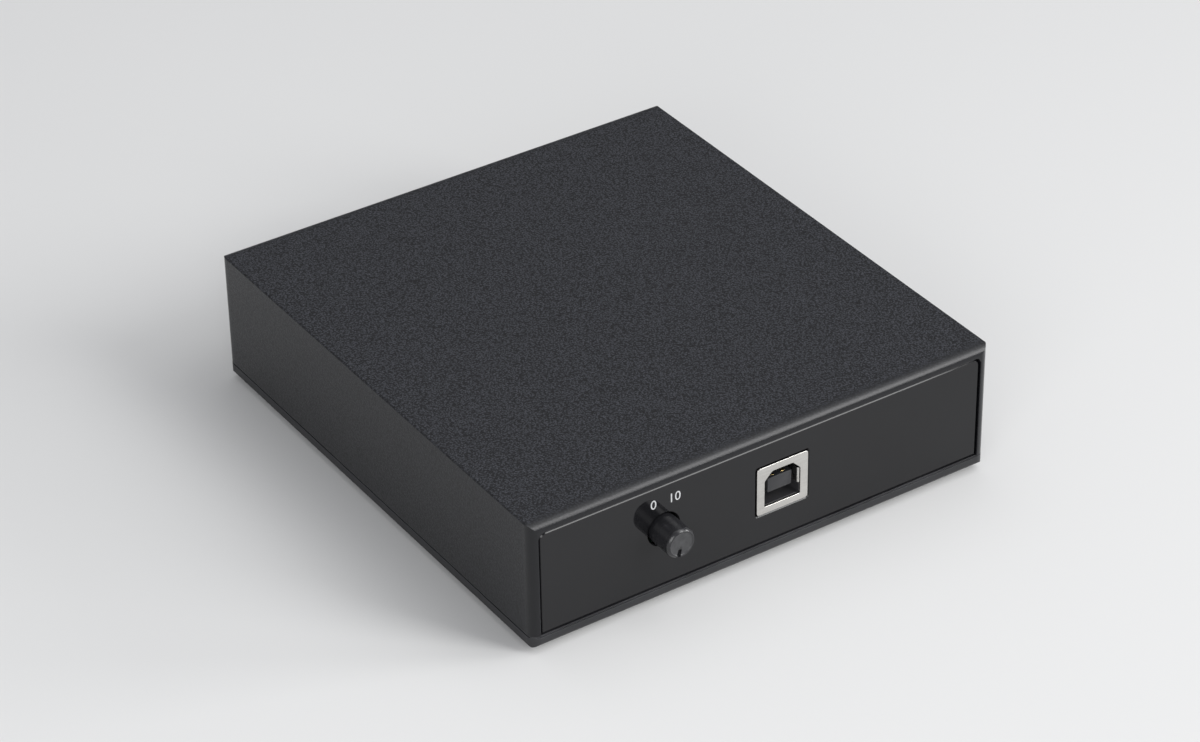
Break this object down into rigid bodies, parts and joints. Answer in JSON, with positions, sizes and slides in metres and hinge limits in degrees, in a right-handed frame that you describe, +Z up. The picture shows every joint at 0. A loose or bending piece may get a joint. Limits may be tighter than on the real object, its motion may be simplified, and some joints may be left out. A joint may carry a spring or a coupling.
{
  "type": "phono preamp",
  "caption": "Small boxed phono preamp with a level knob and a type B data socket in front and phono, ground and power sockets behind.",
  "frame": {"origin": "under the centre of the whole outline, on the level that the feet stand on", "axes": "+X to the right seen from the front, +Y from the front panel to the rear panel, +Z up"},
  "size_m": [0.1072, 0.132, 0.0298],
  "materials": {
    "case_powder_coat": "black powder coat with a fine grain",
    "gloss_black": "polished black",
    "satin_black": "satin black",
    "knob_black": "satin black, moulded",
    "rubber": "soft black rubber",
    "nickel": "satin nickel plate",
    "zinc_screw": "blackened steel",
    "gold_contact": "gold flash on brass",
    "white_insulator": "white moulding",
    "red_insulator": "red moulding",
    "board_green": "solder mask",
    "chip_black": "moulded epoxy",
    "can_sleeve": "shrink sleeve",
    "film_box": "dipped box",
    "coupling_box": "moulded box",
    "heatsink_aluminium": "black anodised",
    "choke_ferrite": "ferrite",
    "crystal_can": "nickel can",
    "brass": "bare brass",
    "ceramic": "ceramic",
    "nylon": "natural nylon"
  },
  "bodies": {
    "enclosure": {"upper_shell": "case_powder_coat", "base_tray": "satin_black", "rubber_feet": "rubber", "case_screws": "zinc_screw", "front_panel": "gloss_black", "rear_panel": "satin_black", "level_pot_housing": "chip_black", "level_pot_cover": "nickel", "level_pot_pins": "nickel", "usb_shell": "nickel", "usb_insulator": "chip_black", "usb_contacts": "gold_contact", "input_jack_block": "satin_black", "output_jack_block": "satin_black", "input_jack_barrels": "gold_contact", "output_jack_barrels": "gold_contact", "left_jack_insulators": "white_insulator", "right_jack_insulators": "red_insulator", "jack_centre_contacts": "gold_contact", "power_jack_body": "satin_black", "power_jack_pin": "nickel", "power_jack_spring": "nickel", "ground_post": "gold_contact", "ground_lock_nut": "brass", "ground_strap": "nickel", "rectifier": "chip_black", "smoothing_capacitors": "can_sleeve", "coupling_capacitors": "coupling_box", "voltage_regulators": "chip_black", "regulator_heatsink": "heatsink_aluminium", "supply_choke": "choke_ferrite", "film_capacitors": "film_box", "op_amps": "chip_black", "input_transistors": "chip_black", "converter_chip": "chip_black", "usb_chip": "chip_black", "clock_crystal": "crystal_can", "chip_resistors": "chip_black", "chip_capacitors": "ceramic", "main_board": "board_green", "board_supports": "nylon"},
    "level_control": {"level_knob": "knob_black", "level_shaft": "brass", "level_wiper": "nylon"},
    "ground_washer": {"ground_clamp_washer": "gold_contact"},
    "ground_nut": {"ground_thumb_nut": "gold_contact"}
  },
  "joints": [
    {"name": "level_turn", "type": "hinge", "parent": "enclosure", "child": "level_control", "pos_m": [-0.02365, -0.06, 0.0171], "axis": [0, 1, 0], "range_deg": [0, 300]},
    {"name": "ground_nut_travel", "type": "slide", "parent": "enclosure", "child": "ground_washer", "axis": [0, 1, 0], "range_m": [0, 0.0028]},
    {"name": "ground_nut_turn", "type": "hinge", "parent": "ground_washer", "child": "ground_nut", "pos_m": [0.0355, 0.0567, 0.0176], "axis": [0, 1, 0], "range_deg": [0, 1440.5]}
  ],
  "couplings": [
    {"joint": "ground_nut_turn", "follows": "ground_nut_travel", "rad_per_m": 8976}
  ]
}
